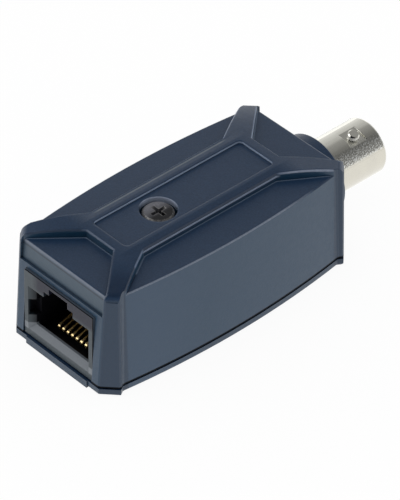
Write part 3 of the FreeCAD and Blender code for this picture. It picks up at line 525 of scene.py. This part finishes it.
def carrier_plastic():
    """Black plastic deep inside the jack."""
    f = Finish("carrier_plastic")
    f.feed("Base Color", f.colours(f.noise(1.2, 3.0), (0.008, 0.008, 0.010), (0.013, 0.013, 0.015)))
    f.feed("Roughness", f.spread(f.noise(0.4, 3.0), 0.45, 0.6))
    f.bumps((f.noise(0.2, 2.0), 0.006), edge_mm=0.08)
    return f.material


def screw_black():
    """Blackened screw: dark oxide with painted light on the head's left side, painted highlights on
    its rim and fine turning marks.
    """
    f = Finish("screw_black")
    left = f.colours(f.noise(0.4, 4.0), (0.120, 0.122, 0.142), (0.175, 0.177, 0.200))
    # Painted light: the head lighter on the left and dark on the right
    base = f.mix_colours(f.along("X", -1.3, 0.8), left, (0.002, 0.002, 0.004))
    # Painted highlights on the rim and the head's chamfer
    rim_highlight = f.math("MAXIMUM", f.edges(0.2, True), slant(f, 0.3, 0.85))
    rim_highlight = f.both(rim_highlight, f.spread(f.noise(0.3, 2.0), 0.2, 1.0))
    highlighted = f.mix_colours(rim_highlight, base, (0.24, 0.235, 0.23))
    f.feed("Base Color", highlighted)
    f.feed("Roughness", f.spread(f.noise(0.25, 3.0), 0.26, 0.42))
    f.bumps((f.noise(0.22, 3.0), 0.008), edge_mm=0.1)
    f.set(Metallic=0.35)
    return f.material


CONTACT_PITCH = 1.016


def contact_gold():
    """Gold plate over drawn wire: long fine lines, painted shade towards each contact's sides, a
    painted highlight at the front bends."""
    f = Finish("contact_gold")
    lines = f.noise(0.12, 2.0, stretch=(1.0, 0.08, 0.08))
    base = f.colours(f.noise(0.8, 3.0), (0.80, 0.50, 0.14), (0.95, 0.66, 0.26))
    split = f.add("ShaderNodeSeparateXYZ")
    f.join(f.place, split.inputs[0])
    pitches = f.math("DIVIDE", split.outputs["X"], CONTACT_PITCH * MM)
    # The whole number added keeps the place positive, so that its fraction runs one way
    turn = f.math("FRACT", f.math("ADD", pitches, 20.0), 0.0)
    off_middle = f.math("ABSOLUTE", f.math("SUBTRACT", turn, 0.5), 0.0)
    side = f.spread(off_middle, 0.0, 0.95, 0.07, 0.16)
    base = f.layered(
        base,
        # Painted shade: each contact's sides darkened
        (f.both(side, f.along("Y", -19.5, -20.5)), (0.06, 0.04, 0.015)),
        # Painted highlight: the front bends paler
        (f.along("Y", -21.2, -22.1), (0.90, 0.70, 0.36)),
    )
    f.feed("Base Color", base)
    f.feed("Roughness", f.spread(lines, 0.28, 0.40))
    f.bumps((lines, 0.002), edge_mm=0.04)
    f.set(Metallic=0.9)
    return f.material


def connector_nickel():
    """Satin nickel plate over machined metal: faint turned rings, painted light making the upper
    side lighter, a rough band along the upper side darkened as painted shade and dotted with
    painted glints, painted highlights on the lugs' sides."""
    f = Finish("connector_nickel")
    rings = f.noise(0.10, 2.0, stretch=(0.05, 1.0, 0.05))
    pits = f.noise(0.20, 4.0, roughness=0.65)
    low = f.colours(f.noise(2.5, 3.0), (0.55, 0.53, 0.47), (0.58, 0.56, 0.49))
    high = f.colours(f.noise(2.5, 3.0), (0.73, 0.72, 0.65), (0.79, 0.78, 0.71))
    grainy = f.band("Z", 11.1, 12.3, 0.5)
    grit = f.noise(0.24, 1.0, roughness=0.6)
    glint = f.both(f.spread(grit, 0.0, 1.0, 0.50, 0.62), grainy)
    lug_side = f.both(slant(f, -0.45, 0.30), f.along("Z", 12.95, 13.05))
    shade = f.layered(
        low,
        # Painted light: the upper side lighter than the lower
        (f.along("Z", 10.5, 12.8), high),
        # Painted shade: the rough band darkened
        (f.without(f.both(grainy, 0.55), glint), (0.30, 0.31, 0.30)),
        # Painted highlights: glints in the rough band
        (f.both(glint, 0.55), (0.95, 0.98, 1.0)),
        # Painted highlight: the lugs' sides pale and less metallic
        (lug_side, (0.92, 0.91, 0.86)),
    )
    f.feed("Base Color", shade)
    f.feed("Metallic", f.math("SUBTRACT", 1.0, f.both(lug_side, 0.7)))
    roughness = f.math("ADD", f.spread(pits, 0.08, 0.15), f.both(grainy, 0.08))
    f.feed("Roughness", roughness)
    f.bumps((rings, 0.0015), (pits, 0.0015), (f.both(grit, grainy), 0.07), edge_mm=0.12)
    return f.material


def insulator_white():
    """White fluoropolymer with faint turning rings."""
    f = Finish("insulator_white")
    rings = f.noise(0.14, 2.0, stretch=(0.06, 1.0, 0.06))
    f.feed("Base Color", f.colours(f.noise(1.5, 2.0), (0.72, 0.71, 0.67), (0.80, 0.79, 0.76)))
    f.feed("Roughness", f.spread(rings, 0.36, 0.5))
    f.bumps((rings, 0.004), edge_mm=0.08)
    return f.material


def board_green():
    """Solder mask over a faint weave, with darker and lighter copper areas beneath."""
    f = Finish("board_green")
    copper = f.cells(3.2)
    weave = f.noise(0.35, 2.0, stretch=(1.0, 0.3, 1.0))
    f.feed("Base Color", f.colours(copper, (0.010, 0.075, 0.030), (0.016, 0.13, 0.05), 0.35, 0.42))
    f.feed("Roughness", f.spread(weave, 0.22, 0.34))
    f.bumps((copper, 0.010), (weave, 0.005), edge_mm=0.1)
    return f.material


def package_black():
    """Matt moulding compound with a fine grain."""
    f = Finish("package_black")
    f.feed("Base Color", f.colours(f.noise(0.6, 4.0), (0.012, 0.012, 0.013), (0.022, 0.022, 0.023)))
    f.feed("Roughness", f.spread(f.noise(0.3, 3.0), 0.45, 0.65))
    f.bumps((f.noise(0.12, 3.0), 0.010), edge_mm=0.1)
    return f.material


def can_metal():
    """Drawn aluminium can."""
    f = Finish("can_metal")
    drawn = f.noise(0.2, 2.0, stretch=(1.0, 1.0, 0.1))
    f.feed("Base Color", f.colours(f.noise(1.2, 3.0), (0.56, 0.56, 0.57), (0.68, 0.68, 0.68)))
    f.feed("Roughness", f.spread(drawn, 0.22, 0.36))
    f.bumps((drawn, 0.004), edge_mm=0.12)
    f.set(Metallic=1.0)
    return f.material


def ceramic_white():
    """Glazed ceramic tube."""
    f = Finish("ceramic_white")
    f.feed("Base Color", f.colours(f.noise(1.0, 3.0), (0.66, 0.64, 0.58), (0.76, 0.74, 0.69)))
    f.feed("Roughness", f.spread(f.noise(0.5, 3.0), 0.18, 0.3))
    f.bumps((f.noise(0.5, 2.0), 0.01), edge_mm=0.1)
    return f.material


def ferrite_grey():
    """Pressed ferrite, dark and slightly porous."""
    f = Finish("ferrite_grey")
    pores = f.noise(0.15, 4.0, roughness=0.7)
    f.feed("Base Color", f.colours(pores, (0.030, 0.030, 0.031), (0.060, 0.059, 0.058)))
    f.feed("Roughness", f.spread(pores, 0.5, 0.7))
    f.bumps((pores, 0.015), edge_mm=0.1)
    return f.material


FINISHES = {
    "shell_plastic": shell_plastic,
    "jack_plastic": jack_plastic,
    "carrier_plastic": carrier_plastic,
    "screw_black": screw_black,
    "contact_gold": contact_gold,
    "connector_nickel": connector_nickel,
    "insulator_white": insulator_white,
    "board_green": board_green,
    "package_black": package_black,
    "can_metal": can_metal,
    "ceramic_white": ceramic_white,
    "ferrite_grey": ferrite_grey,
}


def dress_nodes():
    """Give every CAD node the finish of its slot."""
    made = {slot: make() for slot, make in FINISHES.items()}
    for part in frame["record"]["subparts"]:
        piece = nodes[part["node"]]
        piece.data.materials.clear()
        piece.data.materials.append(made[part["material_slot"]])


# Stage and light

FLOOR_HALF_WIDTH = 1.5
FLOOR_DROP = 0.02 * MM
FLOOR_GREY = 0.8
FLOOR_GLOW_SHARE = 0.9
FLOOR_GLOW_SEEN = 1.03
FLOOR_GLOW_CAST = 1.3


def make_floor():
    """A wide flat white floor just under the object, clear when seen from below."""
    signs = ((-1, -1), (1, -1), (1, 1), (-1, 1))
    corners = [(x * FLOOR_HALF_WIDTH, y * FLOOR_HALF_WIDTH, -FLOOR_DROP) for x, y in signs]
    mesh = bpy.data.meshes.new("floor")
    mesh.from_pydata(corners, [], [(0, 1, 2, 3)])
    floor = bpy.data.objects.new("floor", mesh)
    bpy.context.scene.collection.objects.link(floor)
    f = Finish("floor_white")
    f.tree.nodes.remove(f.shader)
    diffuse = f.add("ShaderNodeBsdfDiffuse")
    diffuse.inputs["Color"].default_value = (FLOOR_GREY, FLOOR_GREY, FLOOR_GREY, 1)
    glow = f.add("ShaderNodeEmission")
    glow.inputs["Color"].default_value = (1, 1, 1, 1)
    camera_ray = f.add("ShaderNodeLightPath").outputs["Is Camera Ray"]
    strength = f.spread(camera_ray, FLOOR_GLOW_CAST, FLOOR_GLOW_SEEN, 0.0, 1.0)
    f.join(strength, glow.inputs["Strength"])
    mix = f.add("ShaderNodeMixShader")
    mix.inputs[0].default_value = FLOOR_GLOW_SHARE
    f.join(diffuse.outputs[0], mix.inputs[1])
    f.join(glow.outputs[0], mix.inputs[2])
    below = f.add("ShaderNodeMixShader")
    f.join(f.add("ShaderNodeNewGeometry").outputs["Backfacing"], below.inputs[0])
    f.join(mix.outputs[0], below.inputs[1])
    f.join(f.add("ShaderNodeBsdfTransparent").outputs[0], below.inputs[2])
    f.join(below.outputs[0], f.output.inputs["Surface"])
    mesh.materials.append(f.material)


def outward(azimuth, elevation):
    """The direction at an azimuth (0 is in front of -Y, 90 is out along +X) and an elevation."""
    a, e = math.radians(azimuth), math.radians(elevation)
    return Vector((math.sin(a) * math.cos(e), -math.cos(a) * math.cos(e), math.sin(e)))


BACK_LEFT = outward(-122.0, 0.0)
BACK_RIGHT = outward(122.0, 0.0)
FRONT_LEFT = outward(-41.0, 32.0)
FRONT_HIGH = outward(-41.0, 60.0)
CAMERA_SIDE = outward(CAMERA_AZIMUTH, 0.0)
CAMERA_SIDE_RAISED = outward(CAMERA_AZIMUTH, 10.0)
# Brightness in reflections against the cosine of the angle from a direction
LEFT_GLOW = ((-0.45, 0.03), (-0.10, 0.12), (0.05, 0.16), (0.28, 0.26), (0.54, 0.35),
             (0.68, 0.54), (0.755, 0.55), (0.91, 0.68), (1.0, 0.85))
RIGHT_GLOW = ((0.60, 0.0), (0.82, 0.22), (0.97, 0.40), (1.0, 0.42))
FRONT_GLOW = ((0.86, 0.0), (0.94, 2.2))
FRONT_SHADE = ((0.55, 1.0), (0.82, 0.3))
STRIP_SHADE = ((0.2, 1.0), (0.6, 0.0))
# Brightness of the bright strip just above the horizon against height
HORIZON = ((0.0, 1.0), (0.05, 1.0), (0.075, 0.0))
HORIZON_STRENGTH = 0.6
# Brightness of the soft dome against height, and its share against the angle from the camera
DOME = ((0.0, 2.1), (0.5, 0.9), (0.9, 0.45))
CAMERA_SHADE = ((0.35, 1.0), (0.95, 0.15))
LOWEST = -1.0


def make_world():
    """White for the camera, a dome brightest at the horizon for soft light, and for reflections
    a sky that is brightest low at the back left, has a glow at the front left and a thin bright
    horizon, and is dark towards the camera."""
    world = bpy.data.worlds.new("studio")
    bpy.context.scene.world = world
    world.use_nodes = True
    tree = world.node_tree
    tree.nodes.clear()
    add, join = tree.nodes.new, tree.links.new
    ray = add("ShaderNodeTexCoord").outputs["Generated"]
    split = add("ShaderNodeSeparateXYZ")
    join(ray, split.inputs[0])
    height = split.outputs["Z"]

    def graph(value, points):
        """A brightness read off a list of (value, brightness) points."""
        ramp = add("ShaderNodeValToRGB")
        span = add("ShaderNodeMapRange")
        span.inputs["From Min"].default_value = LOWEST
        join(value, span.inputs["Value"])
        join(span.outputs[0], ramp.inputs[0])
        stops = ramp.color_ramp.elements
        for index, (at, grey) in enumerate(points):
            place = (at - LOWEST) / (1.0 - LOWEST)
            stop = stops[index] if index < 2 else stops.new(place)
            stop.position = place
            stop.color = (grey, grey, grey, 1)
        return ramp.outputs[0]

    def toward(direction):
        """The cosine of the angle between the ray and a direction."""
        dot = add("ShaderNodeVectorMath")
        dot.operation = "DOT_PRODUCT"
        join(ray, dot.inputs[0])
        dot.inputs[1].default_value = direction
        return dot.outputs["Value"]

    def combine(operation, first, second):
        node = add("ShaderNodeMath")
        node.operation = operation
        join(first, node.inputs[0])
        if isinstance(second, float):
            node.inputs[1].default_value = second
        else:
            join(second, node.inputs[1])
        return node.outputs[0]

    left = graph(toward(BACK_LEFT), LEFT_GLOW)
    glow = combine("MULTIPLY", left, graph(toward(FRONT_HIGH), FRONT_SHADE))
    glow = combine("ADD", glow, graph(toward(BACK_RIGHT), RIGHT_GLOW))
    glow = combine("ADD", glow, graph(toward(FRONT_LEFT), FRONT_GLOW))
    away = graph(toward(CAMERA_SIDE), STRIP_SHADE)
    strip = combine("MULTIPLY", combine("MULTIPLY", graph(height, HORIZON), away), HORIZON_STRENGTH)
    mirror = add("ShaderNodeBackground")
    join(combine("ADD", glow, strip), mirror.inputs["Strength"])
    dome = add("ShaderNodeBackground")
    behind = graph(toward(CAMERA_SIDE_RAISED), CAMERA_SHADE)
    join(combine("MULTIPLY", graph(height, DOME), behind), dome.inputs["Strength"])
    white = add("ShaderNodeBackground")
    for background in (mirror, dome, white):
        background.inputs["Color"].default_value = (1, 1, 1, 1)
    path = add("ShaderNodeLightPath")
    surface = dome.outputs[0]
    for ray_kind, background in (("Is Glossy Ray", mirror), ("Is Camera Ray", white)):
        mix = add("ShaderNodeMixShader")
        join(path.outputs[ray_kind], mix.inputs[0])
        join(surface, mix.inputs[1])
        join(background.outputs[0], mix.inputs[2])
        surface = mix.outputs[0]
    join(surface, add("ShaderNodeOutputWorld").inputs["Surface"])


LAMP_DIRECTION = outward(20.0, 78.0)
LAMP_DISTANCE = 0.8
LAMP_SIDE = 0.7
LAMP_POWER = 1.8


def make_lamp():
    """A flat lamp overhead that points at the object and shows in no reflection."""
    data = bpy.data.lights.new("overhead", "AREA")
    data.shape = "RECTANGLE"
    data.size = data.size_y = LAMP_SIDE
    data.energy = LAMP_POWER
    lamp = bpy.data.objects.new("overhead", data)
    lamp.visible_glossy = False
    turn = LAMP_DIRECTION.to_track_quat("Z", "Y").to_matrix().to_4x4()
    lamp.matrix_world = Matrix.Translation(LAMP_DIRECTION * LAMP_DISTANCE) @ turn
    bpy.context.scene.collection.objects.link(lamp)


make_camera()
make_floor()
make_world()
make_lamp()
dress_nodes()

scene = bpy.context.scene
scene.view_settings.view_transform = "Standard"
